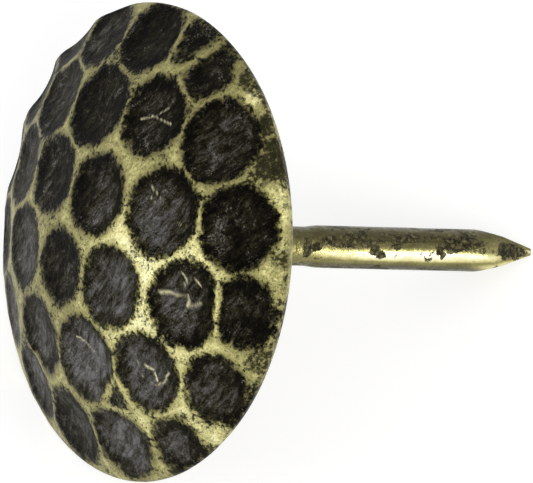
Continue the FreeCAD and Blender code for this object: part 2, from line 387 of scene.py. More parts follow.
class NodeBench:
    """A material's node tree, with short calls for the nodes that the finishes use."""

    def __init__(self, name: str) -> None:
        """Start an empty material.

        Args:
            name: The material's name.
        """
        self.material = bpy.data.materials.new(name)
        self.material.use_nodes = True
        self.tree = self.material.node_tree
        self.tree.nodes.clear()

    def add(self, kind: str, **settings: object) -> bpy.types.Node:
        """Add a node and set its options."""
        node = self.tree.nodes.new(kind)
        for option, value in settings.items():
            setattr(node, option, value)
        return node

    def feed(self, socket: bpy.types.NodeSocket, value: object) -> None:
        """Give a socket a number or colour, or link another socket to it."""
        if isinstance(value, bpy.types.NodeSocket):
            self.tree.links.new(value, socket)
        else:
            socket.default_value = value

    def coat(self, coat: Coat) -> bpy.types.NodeSocket:
        """A measure that the vertices carry."""
        node = self.add("ShaderNodeAttribute", attribute_name=coat.value)
        return node.outputs["Vector" if coat is Coat.PLACE else "Fac"]

    def maths(self, operation: str, first: object, second: object = 0.0,
              clamp: bool = False) -> bpy.types.NodeSocket:
        """One sum on two numbers.

        Args:
            operation: The node's own name for the sum.
            first: Number or socket.
            second: Number or socket.
            clamp: Whether the result stays between 0 and 1.

        Returns:
            The result's socket.
        """
        node = self.add("ShaderNodeMath", operation=operation, use_clamp=clamp)
        self.feed(node.inputs[0], first)
        self.feed(node.inputs[1], second)
        return node.outputs[0]

    def total(self, *shares: tuple[object, float]) -> bpy.types.NodeSocket:
        """Sum of numbers, each times its own share."""
        whole = None
        for value, share in shares:
            term = self.maths("MULTIPLY", value, share)
            whole = term if whole is None else self.maths("ADD", whole, term)
        return whole

    def sway(self, value: object, amount: float, middle: float = 0.5) -> bpy.types.NodeSocket:
        """How far a number lies from its middle, times an amount."""
        return self.maths("MULTIPLY", self.maths("SUBTRACT", value, middle), amount)

    def noise(self, place: bpy.types.NodeSocket, pattern: Pattern) -> bpy.types.NodeSocket:
        """Noise over the surface, about 0 to 1.

        Args:
            place: The place's socket, in millimetres.
            pattern: How fine and how rough the noise is.

        Returns:
            The noise's socket.
        """
        node = self.add("ShaderNodeTexNoise")
        self.feed(node.inputs["Vector"], place)
        node.inputs["Scale"].default_value = pattern.per_mm
        node.inputs["Detail"].default_value = pattern.layers
        node.inputs["Roughness"].default_value = pattern.strength
        node.inputs["Distortion"].default_value = pattern.stir
        return node.outputs["Fac"]

    def stretch(self, place: bpy.types.NodeSocket, turn: tuple[float, float, float],
                scale: tuple[float, float, float]) -> bpy.types.NodeSocket:
        """Turn and stretch places, so that noise on them runs in streaks."""
        node = self.add("ShaderNodeMapping")
        self.feed(node.inputs["Vector"], place)
        node.inputs["Rotation"].default_value = turn
        node.inputs["Scale"].default_value = scale
        return node.outputs["Vector"]

    def step(self, value: object, low: float, high: float, start: float = 0.0,
             end: float = 1.0) -> bpy.types.NodeSocket:
        """Soft step from start at low to end at high."""
        node = self.add("ShaderNodeMapRange", interpolation_type="SMOOTHSTEP")
        self.feed(node.inputs["Value"], value)
        node.inputs["From Min"].default_value = low
        node.inputs["From Max"].default_value = high
        node.inputs["To Min"].default_value = start
        node.inputs["To Max"].default_value = end
        return node.outputs["Result"]

    def ramp(self, factor: object,
             stops: tuple[tuple[float, tuple[float, float, float]], ...]) -> bpy.types.NodeSocket:
        """Colours along a number.

        Args:
            factor: The number's socket.
            stops: Positions from 0 to 1 with their colours.

        Returns:
            The colour's socket.
        """
        node = self.add("ShaderNodeValToRGB")
        self.feed(node.inputs["Fac"], factor)
        points = node.color_ramp.elements
        while len(points) < len(stops):
            points.new(0.5)
        for point, (position, colour) in zip(points, stops):
            point.position = position
            point.color = (*colour, 1.0)
        return node.outputs["Color"]

    def blend_colour(self, factor: object, first: object,
                     second: object) -> bpy.types.NodeSocket:
        """Blend two colours."""
        node = self.add("ShaderNodeMix", data_type="RGBA")
        self.feed(node.inputs[0], factor)
        self.feed(node.inputs[6], first)
        self.feed(node.inputs[7], second)
        return node.outputs[2]

    def blend_number(self, factor: object, first: object,
                     second: object) -> bpy.types.NodeSocket:
        """Blend two numbers."""
        node = self.add("ShaderNodeMix", data_type="FLOAT")
        self.feed(node.inputs[0], factor)
        self.feed(node.inputs[2], first)
        self.feed(node.inputs[3], second)
        return node.outputs[0]

    def bump(self, height: bpy.types.NodeSocket, depth: float) -> bpy.types.NodeSocket:
        """Raise the surface by a height, in millimetres at most depth."""
        node = self.add("ShaderNodeBump")
        node.inputs["Strength"].default_value = 1.0
        node.inputs["Distance"].default_value = depth * MM
        self.feed(node.inputs["Height"], height)
        return node.outputs["Normal"]

    def metal(self, colour: object, metallic: object, roughness: object,
              normal: bpy.types.NodeSocket, sheen: float = 0.5) -> bpy.types.Material:
        """Finish the material with the shader that all metal here uses.

        Args:
            colour: Base colour's socket.
            metallic: How bare the metal is.
            roughness: How matt it is.
            normal: The bumped normal.
            sheen: How much light the patina mirrors.

        Returns:
            The finished material.
        """
        shader = self.add("ShaderNodeBsdfPrincipled")
        shader.inputs["Specular IOR Level"].default_value = sheen
        self.feed(shader.inputs["Base Color"], colour)
        self.feed(shader.inputs["Metallic"], metallic)
        self.feed(shader.inputs["Roughness"], roughness)
        self.feed(shader.inputs["Normal"], normal)
        output = self.add("ShaderNodeOutputMaterial")
        self.tree.links.new(shader.outputs["BSDF"], output.inputs["Surface"])
        return self.material


GOLD_STOPS = (
    (0.0, (0.050, 0.042, 0.020)), (0.25, (0.150, 0.135, 0.055)),
    (0.50, (0.340, 0.315, 0.125)), (0.72, (0.640, 0.600, 0.270)), (0.95, (0.92, 0.89, 0.52)))
PATINA_STOPS = (
    (0.41, (0.0012, 0.0008, 0.0003)), (0.50, (0.0085, 0.0070, 0.0034)),
    (0.57, (0.029, 0.0255, 0.0125)), (0.66, (0.104, 0.098, 0.086)),
    (0.78, (0.255, 0.250, 0.250)))


@dataclass(frozen=True)
class AntiquedCapBrass:
    """Outside of the cap: black patina in the marks, rubbed brass on the crests between them."""

    name: str = "antiqued_hammered_brass"
    lumps: Pattern = Pattern(3.6, 6.0, 0.68, 0.5)
    specks: Pattern = Pattern(11.0)
    blotches: Pattern = Pattern(1.1, 7.0, 0.66, 0.6)
    fine: Pattern = Pattern(24.0, 2.0)
    breaks: Pattern = Pattern(9.0, 3.0, 0.7)
    flecks: Pattern = Pattern(7.5, 4.0, 0.75, 0.8)
    smears: Pattern = Pattern(1.7, 5.0, 0.66, 0.9)
    streaks: Pattern = Pattern(1.5, 6.0, 0.70, 0.7)
    streak_turn: tuple[float, float, float] = (0.3, 0.5, 0.9)
    streak_stretch: tuple[float, float, float] = (1.6, 5.0, 2.6)
    rub_start: float = -0.034
    rub_end: float = 0.024
    ragged: float = 0.300
    ragged_fine: float = 0.170
    patina_and_shade_share: float = 0.21
    left_ragged: float = 0.95
    left_edge: tuple[float, float] = (0.54, 0.74)
    scratch_gaps: tuple[float, float] = (0.28, 0.46)
    fleck_edge: tuple[float, float] = (0.59, 0.73)
    fleck_strength: float = 0.60
    glint_edge: tuple[float, float] = (0.66, 0.80)
    glint_strength: float = 0.75
    bloom_level: float = 0.19
    patina_metallic: float = 0.06
    patina_sheen: float = 0.035
    patina_roughness: float = 0.36
    brass_roughness: float = 0.40
    grain_depth: float = 0.120
    glint_colour: tuple[float, float, float, float] = (0.30, 0.285, 0.250, 1.0)
    scratch_colour: tuple[float, float, float, float] = (0.92, 0.87, 0.62, 1.0)

    def material(self) -> bpy.types.Material:
        """Make the finish."""
        bench = NodeBench(self.name)
        place = bench.coat(Coat.PLACE)
        lumps, specks = bench.noise(place, self.lumps), bench.noise(place, self.specks)
        blotch, fine = bench.noise(place, self.blotches), bench.noise(place, self.fine)

        # Height above the patina's edge, made ragged, says where the brass is rubbed bare
        torn = bench.maths("ADD", bench.sway(lumps, self.ragged),
                           bench.sway(specks, self.ragged_fine))
        level = bench.maths("ADD", bench.coat(Coat.RELIEF), torn)
        bare = bench.step(level, self.rub_start, self.rub_end, 1.0, 0.0)

        # Patina that stayed on the lands, and darker patches along the rim strip that are partly
        # patina and partly painted shade
        left = bench.total((blotch, 1.0), (bench.coat(Coat.PATINA_AND_PAINTED_SHADE), self.patina_and_shade_share))
        left = bench.maths("ADD", left, bench.sway(specks, self.left_ragged))
        bare = bench.maths("MULTIPLY", bare, bench.step(left, *self.left_edge, 1.0, 0.10))

        # Scratches and flecks cut through the patina inside the marks
        broken = bench.step(bench.noise(place, self.breaks), *self.scratch_gaps)
        scored = bench.maths("MULTIPLY", bench.coat(Coat.SCRATCH), broken)
        flecks = bench.step(bench.noise(place, self.flecks), *self.fleck_edge,
                            0.0, self.fleck_strength)
        bare = bench.maths("MAXIMUM", bare, bench.maths("MAXIMUM", scored, flecks), clamp=True)

        # Brass: dull olive to pale gold, paler where rubbed wear and a painted highlight are laid
        # on
        worn = bench.total((lumps, 0.95), (specks, 1.15), (bench.coat(Coat.WEAR_AND_PAINTED_HIGHLIGHT), 0.42))
        dirty = bench.step(level, self.rub_start - 0.05, self.rub_end, 0.55, 0.88)
        brass = bench.ramp(bench.maths("SUBTRACT", worn, dirty), GOLD_STOPS)

        # Patina: near black with an olive-brown cast, grey smears and small pale glints
        streaks = bench.noise(
            bench.stretch(place, self.streak_turn, self.streak_stretch), self.streaks)
        smears = bench.noise(place, self.smears)
        bloom = bench.total((streaks, 0.66), (fine, 0.26), (smears, 0.46))
        bloom = bench.maths("SUBTRACT", bloom, self.bloom_level)
        # Each mark's own random grey level, with painted sheen that makes some marks paler
        bloom = bench.maths("ADD", bloom, bench.sway(bench.coat(Coat.TONE_AND_PAINTED_SHADING), 0.13, 0.3))
        # The middle of a mark was wiped and its border wasn't
        wiped = bench.step(bench.coat(Coat.RELIEF), 0.01, 0.12, -0.075, 0.045)
        patina = bench.ramp(bench.maths("ADD", bloom, wiped), PATINA_STOPS)
        glints = bench.step(bench.maths("ADD", smears, bench.sway(fine, 0.9)),
                            *self.glint_edge, 0.0, self.glint_strength)
        patina = bench.blend_colour(glints, patina, self.glint_colour)
        colour = bench.blend_colour(bare, patina, brass)
        colour = bench.blend_colour(scored, colour, self.scratch_colour)

        roughness = bench.blend_number(bare, self.patina_roughness, self.brass_roughness)
        roughness = bench.maths("ADD", roughness, bench.sway(fine, 0.30))
        metallic = bench.blend_number(bare, self.patina_metallic, 1.0)

        height = bench.total((streaks, 1.0), (specks, 0.42), (smears, 0.9), (fine, 0.14))
        height = bench.maths("MULTIPLY", height, bench.blend_number(bare, 1.0, 0.40))
        return bench.metal(colour, metallic, roughness, bench.bump(height, self.grain_depth),
                           self.patina_sheen)


@dataclass(frozen=True)
class DullSheetBrass:
    """Inside of the cap: tarnished sheet, with more patina towards the weld."""

    name: str = "tarnished_sheet_brass"

    def material(self) -> bpy.types.Material:
        """Make the finish."""
        bench = NodeBench(self.name)
        place = bench.coat(Coat.PLACE)
        blotch = bench.noise(place, Pattern(0.9, 7.0, 0.62, 0.5))
        fine = bench.noise(place, Pattern(9.0, 4.0, 0.65))
        tarnish = bench.total((blotch, 0.8), (fine, 0.35), (bench.coat(Coat.PATINA_AND_PAINTED_SHADE), -0.35))
        colour = bench.ramp(tarnish, (
            (0.30, (0.030, 0.024, 0.016)), (0.52, (0.150, 0.128, 0.060)),
            (0.70, (0.330, 0.300, 0.135)), (0.90, (0.520, 0.480, 0.240))))
        height = bench.total((fine, 0.7), (blotch, 1.0))
        return bench.metal(colour, bench.step(tarnish, 0.30, 0.6, 0.35, 1.0),
                           bench.step(tarnish, 0.3, 0.9, 0.52, 0.33), bench.bump(height, 0.018))


@dataclass(frozen=True)
class PinBrass:
    """The wire: pale brass with olive tarnish along it, black spots and brown stains."""

    name: str = "antiqued_wire_brass"
    along: tuple[float, float, float] = (0.0, 0.0, 0.0)
    drawn: Pattern = Pattern(1.0, 4.0)
    drawn_stretch: tuple[float, float, float] = (9.0, 9.0, 0.55)
    blotches: Pattern = Pattern(2.1, 6.0, 0.66, 0.5)
    blotch_stretch: tuple[float, float, float] = (1.0, 1.0, 0.62)
    specks: Pattern = Pattern(9.0, 3.0, 0.62)
    fine: Pattern = Pattern(22.0, 2.0)
    drawn_depth: float = 0.014
    patina_sheen: float = 0.08
    loose: float = 1.9
    torn: float = 2.8
    placed_edge: tuple[float, float] = (0.40, 0.62)
    fallen_edge: tuple[float, float] = (0.60, 0.67)

    def material(self) -> bpy.types.Material:
        """Make the finish."""
        bench = NodeBench(self.name)
        place = bench.coat(Coat.PLACE)
        drawn = bench.noise(bench.stretch(place, self.along, self.drawn_stretch), self.drawn)
        blotch = bench.noise(bench.stretch(place, self.along, self.blotch_stretch), self.blotches)
        specks, fine = bench.noise(place, self.specks), bench.noise(place, self.fine)

        # Patina where it was placed, with a ragged edge, and some where it fell by chance,
        # mostly on the side painted duller as painted shade
        loose, torn = bench.sway(specks, self.loose), bench.sway(blotch, self.torn)
        spread = bench.maths("ADD", bench.coat(Coat.PATINA_AND_PAINTED_SHADE), bench.maths("ADD", loose, torn))
        placed = bench.step(spread, *self.placed_edge)
        fallen = bench.total((blotch, 1.0), (loose, 0.22), (bench.coat(Coat.TONE_AND_PAINTED_SHADING), 0.075))
        chance = bench.step(fallen, *self.fallen_edge)
        dark = bench.maths("MAXIMUM", placed, chance, clamp=True)

        # Brass painted paler along the painted highlight band and duller where painted shade lies
        worn = bench.total((blotch, 0.45), (drawn, 0.30), (specks, 0.20),
                           (bench.coat(Coat.WEAR_AND_PAINTED_HIGHLIGHT), 0.50), (bench.coat(Coat.TONE_AND_PAINTED_SHADING), -0.24))
        brass = bench.ramp(bench.maths("SUBTRACT", worn, 0.10), (
            (0.10, (0.075, 0.066, 0.028)), (0.30, (0.175, 0.160, 0.066)),
            (0.50, (0.360, 0.325, 0.125)), (0.72, (0.760, 0.700, 0.330)),
            (0.92, (0.960, 0.940, 0.640))))
        patina = bench.ramp(specks, (
            (0.38, (0.012, 0.010, 0.005)), (0.50, (0.042, 0.037, 0.017)),
            (0.60, (0.120, 0.108, 0.048)), (0.70, (0.230, 0.205, 0.100))))
        colour = bench.blend_colour(dark, brass, patina)
        roughness = bench.maths("ADD", bench.blend_number(dark, 0.27, 0.46),
                                bench.sway(fine, 0.20))
        height = bench.total((drawn, 0.8), (specks, 1.0), (dark, 0.5))
        return bench.metal(colour, bench.blend_number(dark, 1.0, 0.20), roughness,
                           bench.bump(height, self.drawn_depth), self.patina_sheen)


@dataclass(frozen=True)
class WeldMetal:
    """The metal squeezed out round the pin's foot: grey-brown and rough."""

    name: str = "weld_flash_metal"

    def material(self) -> bpy.types.Material:
        """Make the finish."""
        bench = NodeBench(self.name)
        place = bench.coat(Coat.PLACE)
        lumps = bench.noise(place, Pattern(6.0, 5.0, 0.7))
        colour = bench.ramp(lumps, (
            (0.30, (0.035, 0.028, 0.020)), (0.55, (0.120, 0.100, 0.055)),
            (0.80, (0.300, 0.260, 0.140))))
        return bench.metal(colour, bench.step(lumps, 0.3, 0.7, 0.4, 0.9),
                           bench.step(lumps, 0.3, 0.8, 0.58, 0.42), bench.bump(lumps, 0.030))


def build_piece(name: str, points: np.ndarray, faces: list, coats: dict[Coat, np.ndarray],
                place: RestingPlace) -> bpy.types.Object:
    """Make a smooth mesh object from upright points and give it its measures.

    Args:
        name: The piece's name.
        points: Upright points in millimetres.
        faces: Corner numbers of each face.
        coats: Measures for the finish, one number for each point.
        place: Where the tack lies.

    Returns:
        The new object, in metres.
    """
    mesh = bpy.data.meshes.new(name)
    mesh.from_pydata(place.lay(points).tolist(), [], faces)
    mesh.validate()
    mesh.polygons.foreach_set("use_smooth", np.ones(len(mesh.polygons), bool))
    where = mesh.attributes.new(Coat.PLACE.value, "FLOAT_VECTOR", "POINT")
    where.data.foreach_set("vector", points.astype(np.float32).ravel())
    for coat, values in coats.items():
        layer = mesh.attributes.new(coat.value, "FLOAT", "POINT")
        layer.data.foreach_set("value", values.astype(np.float32))
    piece = bpy.data.objects.new(name, mesh)
    bpy.context.scene.collection.objects.link(piece)
    return piece


@dataclass
class HammeredCap:
    """The dished sheet cap as one closed mesh: outside, rounded rim, flat edge and inside."""

    place: RestingPlace
    dome: DomeForm = field(default_factory=DomeForm)
    outside_cells: int = 260
    edge_drop: float = 0.3
    weld_pad_radius: float = 1.3
    weld_pad_height: float = 1.0493
    pit_depth: float = 0.042
    crest_share: float = 0.060
    rounding_steps: int = 6
    scratches: tuple[Scratch, ...] = (
        Scratch(((290.6, 0.499), (292.4, 0.533), (292.5, 0.566), (294.0, 0.609), (292.1, 0.621),
                 (290.0, 0.622), (291.6, 0.653), (293.4, 0.674)), 0.032),
        Scratch(((302.5, 0.581), (300.1, 0.601), (297.3, 0.587), (295.8, 0.606),
                 (295.3, 0.635), (293.8, 0.658)), 0.018),
        Scratch(((301.6, 0.637), (299.7, 0.667)), 0.018),
        Scratch(((252.8, 0.559), (250.5, 0.620), (253.8, 0.680), (259.0, 0.700),
                 (263.2, 0.687)), 0.018),
        Scratch(((19.0, 0.569), (14.0, 0.610), (11.2, 0.671)), 0.018),
        Scratch(((17.0, 0.600), (9.0, 0.625), (4.5, 0.646)), 0.016),
        Scratch(((346.3, 0.453), (337.0, 0.470), (328.2, 0.496), (322.6, 0.554)), 0.014),
        Scratch(((341.0, 0.430), (331.0, 0.450)), 0.014),
        Scratch(((210.3, 0.414), (216.0, 0.420), (224.2, 0.460), (222.6, 0.543)), 0.020),
        Scratch(((255.2, 0.595), (257.5, 0.630), (256.0, 0.671)), 0.034),
    )
    # Patina spots, and dark patches along the rim strip that are partly patina and partly painted
    # shade
    patina_and_painted_rim_shade: tuple[Smudge, ...] = (
        Smudge(358.3, 0.990, 0.42), Smudge(336.3, 0.985, 0.70), Smudge(345.0, 0.985, 0.35),
        Smudge(311.2, 0.975, 0.30), Smudge(285.7, 0.985, 0.45), Smudge(269.9, 0.995, 0.60),
        Smudge(255.0, 0.998, 0.45), Smudge(242.0, 0.998, 0.40),
        Smudge(307.4, 0.421, 0.16, 0.8), Smudge(20.0, 0.98, 0.40), Smudge(60.0, 0.98, 0.4),
        Smudge(120.0, 0.98, 0.5), Smudge(200.0, 0.98, 0.5),
    )
    # Brighter patches: partly rubbed wear, partly a painted highlight on one side of the head
    wear_and_painted_highlight_smudges: tuple[Smudge, ...] = (
        Smudge(290.0, 0.45, 2.6, 0.9), Smudge(262.0, 0.85, 1.6, 0.6),
        Smudge(324.0, 0.966, 0.6, 0.45), Smudge(296.4, 0.975, 0.6, 0.6),
        Smudge(353.2, 0.965, 0.30, 0.7), Smudge(240.0, 0.70, 1.4, 0.5),
    )
    # Marks painted paler on one side of the head: a painted sheen
    painted_sheen_marks: tuple[Smudge, ...] = (
        Smudge(232.0, 0.70, 3.6), Smudge(160.0, 0.75, 3.6, 0.9), Smudge(290.0, 0.40, 2.6, 0.7),
    )
    tone_spread: float = 0.6

    def smudges(self, points: np.ndarray, spots: tuple[Smudge, ...]) -> np.ndarray:
        """Strength of a set of soft spots at each point, from 0 to 1."""
        strength = np.zeros(len(points))
        for spot in spots:
            middle = self.dome.at(self.dome.way_to(spot.bearing, spot.out)[None, :],
                                  np.array([self.dome.radius]))
            gap = np.linalg.norm(points - middle, axis=1)
            strength = np.maximum(
                strength, spot.strength * (1.0 - smooth_step(0.35, 1.15, gap / spot.radius)))
        return strength

    def scored(self, points: np.ndarray) -> np.ndarray:
        """How near each point lies to a scratch, from 0 to 1."""
        strength = np.zeros(len(points))
        for scratch in self.scratches:
            ways = np.array([self.dome.way_to(*spot) for spot in scratch.places])
            line = self.dome.at(ways, np.full(len(ways), self.dome.radius - 0.12))
            for start, end in zip(line, line[1:]):
                run = end - start
                share = np.clip((points - start) @ run / (run @ run), 0.0, 1.0)
                off = points - start - share[:, None] * run
                across = np.linalg.norm(off[:, :2], axis=1) + 0.2 * np.abs(off[:, 2])
                strength = np.maximum(
                    strength, 1.0 - smooth_step(0.5, 2.0, across / scratch.half_width))
        return strength

    def outside(self, grid: DiskGrid) -> tuple[np.ndarray, dict[Coat, np.ndarray]]:
        """Points of the dished outside and their measures.

        Args:
            grid: The grid that covers it.

        Returns:
            The points, and the measures by name.
        """
        dome = self.dome
        edge = dome.edge_lean(grid.bearing) - dome.rim_rounding / dome.radius
        ways = heading(grid.bearing, grid.out * edge)
        heights = dome.mark_heights(dome.waver(ways), 0.0)
        depth = dome.radius - heights.min(axis=1)
        # Below zero on the lands and on the crests between marks, above it inside a mark
        ordered = np.sort(heights[:, 1:], axis=1)[:, :2]
        relief = np.minimum(dome.radius - ordered[:, 0],
                            ordered[:, 1] - ordered[:, 0] - self.crest_share)
        distance = soft_lowest(heights, dome.crest_wear)
        plain = dome.at(ways, distance)
        inside_mark = smooth_step(0.01, 0.05, depth)
        pits = 0.5 + 0.5 * np.clip(grain(plain, 2.4, 4, 11.0), -1.0, 1.0)
        dings = 0.5 + 0.5 * np.clip(grain(plain, 1.5, 3, 57.0), -1.0, 1.0)
        distance = distance - self.pit_depth * (0.35 + 0.65 * inside_mark) * pits
        distance = distance - 0.5 * self.pit_depth * (1.0 - inside_mark) * dings
        points = dome.at(ways, distance)
        scored = self.scored(points)
        points = dome.flattened(dome.at(ways, distance - 0.010 * scored))
        # Each mark gets a random grey level of its own, and marks on one side of the head are
        # painted paler as painted sheen
        tones_and_painted_sheen = (self.tone_spread * np.modf(np.argmin(heights, axis=1) * EVEN_SPREAD)[0]
                 + self.smudges(points, self.painted_sheen_marks))
        return points, {
            Coat.RELIEF: relief, Coat.TONE_AND_PAINTED_SHADING: tones_and_painted_sheen, Coat.SCRATCH: scored,
            Coat.PATINA_AND_PAINTED_SHADE: self.smudges(points, self.patina_and_painted_rim_shade),
            Coat.WEAR_AND_PAINTED_HIGHLIGHT: self.smudges(points, self.wear_and_painted_highlight_smudges)}

    def edge_rings(self, bearing: np.ndarray) -> list[np.ndarray]:
        """Rings of points round the rim, from the rounded corner down and in under the edge.

        Args:
            bearing: Bearings of the points of each ring, in radians.

        Returns:
            One array of points for each ring.
        """
        dome = self.dome
        edge = dome.edge_lean(bearing)
        ways = heading(bearing, edge)
        top = soft_lowest(dome.mark_heights(dome.waver(ways), 0.0), dome.crest_wear)
        top = top - self.pit_depth * 0.5
        flat = -self.edge_drop - dome.middle
        rings = []
        for step in range(1, self.rounding_steps + 1):
            angle = math.pi / 2.0 * (1.0 - step / self.rounding_steps)
            back = dome.rim_rounding * (1.0 - math.cos(angle))
            down = dome.rim_rounding * (1.0 - math.sin(angle))
            rings.append(dome.at(heading(bearing, edge - back / dome.radius), top - down))
        foot = flat / np.cos(edge)
        for share in (0.5, 0.85):
            rings.append(dome.at(ways, (top - dome.rim_rounding) * (1.0 - share) + foot * share))
        outer = flat * np.tan(edge)
        inner = self.inner_rim(bearing)
        for share in (0.10, 0.5, 0.92):
            span = outer * (1.0 - share) + inner * share
            rings.append(level_ring(span, bearing, -self.edge_drop))
        return [dome.flattened(ring) for ring in rings]

    def inner_lean(self, bearing: np.ndarray) -> np.ndarray:
        """Lean at which the inside of the cap meets the flat edge, for each bearing."""
        dome = self.dome
        flat = -self.edge_drop - dome.middle
        lean = np.full(len(bearing), math.acos(flat / (dome.radius - dome.sheet)))
        for _ in range(12):
            heights = dome.mark_heights(heading(bearing, lean), dome.sheet)
            lean = np.arccos(np.clip(flat / soft_lowest(heights, dome.crest_wear), -1.0, 1.0))
        return lean

    def inner_rim(self, bearing: np.ndarray) -> np.ndarray:
        """Radius at which the inside of the cap meets the flat edge, for each bearing."""
        flat = -self.edge_drop - self.dome.middle
        return flat * np.tan(self.inner_lean(bearing))

    def inside(self, grid: DiskGrid) -> np.ndarray:
        """Points of the bumped inside with its flat weld pad.

        Args:
            grid: The grid that covers it.

        Returns:
            The points.
        """
        dome = self.dome
        ways = heading(grid.bearing, grid.out * self.inner_lean(grid.bearing))
        distance = soft_lowest(dome.mark_heights(ways, dome.sheet), dome.crest_wear)
        points = dome.at(ways, distance)
        across = np.linalg.norm(points[:, :2], axis=1)
        within, beyond = self.weld_pad_radius - 0.03, self.weld_pad_radius + 0.06
        on_pad = 1.0 - smooth_step(within, beyond, across)
        pressed = np.minimum(points[:, 2], self.weld_pad_height)
        points[:, 2] = points[:, 2] * (1.0 - on_pad) + pressed * on_pad
        return points

    def build(self) -> bpy.types.Object:
        """Make the cap, dress it, attach it to the root body and hide the imported cap part."""
        outer, inner = DiskGrid(self.outside_cells), DiskGrid(self.outside_cells // 2)
        outside, coats = self.outside(outer)
        rings = self.edge_rings(outer.bearing[outer.border])
        inside = self.inside(inner)
        points = np.concatenate([outside, *rings, inside])
        faces = outer.faces.tolist()
        count = len(outer.border)
        ring_corners = [outer.border] + [
            len(outside) + index * count + np.arange(count) for index in range(len(rings))]
        for upper, lower in zip(ring_corners, ring_corners[1:]):
            faces += np.stack(
                [upper, lower, np.roll(lower, -1), np.roll(upper, -1)], axis=1).tolist()
        first_inside = len(outside) + len(rings) * count
        last = ring_corners[-1]
        border = first_inside + inner.border
        after = np.roll(border, -1)
        faces += np.stack([last[0::2], border, last[1::2]], axis=1).tolist()
        faces += np.stack([last[1::2], border, after], axis=1).tolist()
        faces += np.stack([last[1::2], after, np.roll(last[0::2], -1)], axis=1).tolist()
        inside_from = len(faces)
        faces += (first_inside + inner.faces[:, ::-1]).tolist()

        extra = len(points) - len(outside)
        measures = {name: np.concatenate([values, np.zeros(extra)])
                    for name, values in coats.items()}
        edge = slice(len(outside), first_inside)
        edge_points = points[edge]
        # The rim's edge is darkened all round, partly as patina and partly as painted shade
        measures[Coat.PATINA_AND_PAINTED_SHADE][edge] = np.maximum(
            0.35, self.smudges(edge_points, self.patina_and_painted_rim_shade))
        measures[Coat.WEAR_AND_PAINTED_HIGHLIGHT][edge] = self.smudges(edge_points, self.wear_and_painted_highlight_smudges)
        border_relief = coats[Coat.RELIEF][outer.border]
        measures[Coat.RELIEF][edge] = np.tile(np.minimum(border_relief, 0.0), len(rings))
        across = np.linalg.norm(points[first_inside:, :2], axis=1)
        measures[Coat.PATINA_AND_PAINTED_SHADE][first_inside:] = 1.0 - smooth_step(1.2, 3.2, across)

        piece = build_piece("cap_dished_shell", points, faces, measures, self.place)
        piece.data.materials.append(AntiquedCapBrass().material())
        piece.data.materials.append(DullSheetBrass().material())
        inside_faces = np.zeros(len(piece.data.polygons), np.int32)
        inside_faces[inside_from:] = 1
        piece.data.polygons.foreach_set("material_index", inside_faces)
        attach(piece, "root")
        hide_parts("hammered_cap")
        return piece


@dataclass(frozen=True)
class WireSpot:
    """A soft spot on the wire: distance down from the rim, bearing, half length, half width."""

    down: float
    bearing: float
    half_length: float
    half_width: float
    strength: float = 1.0


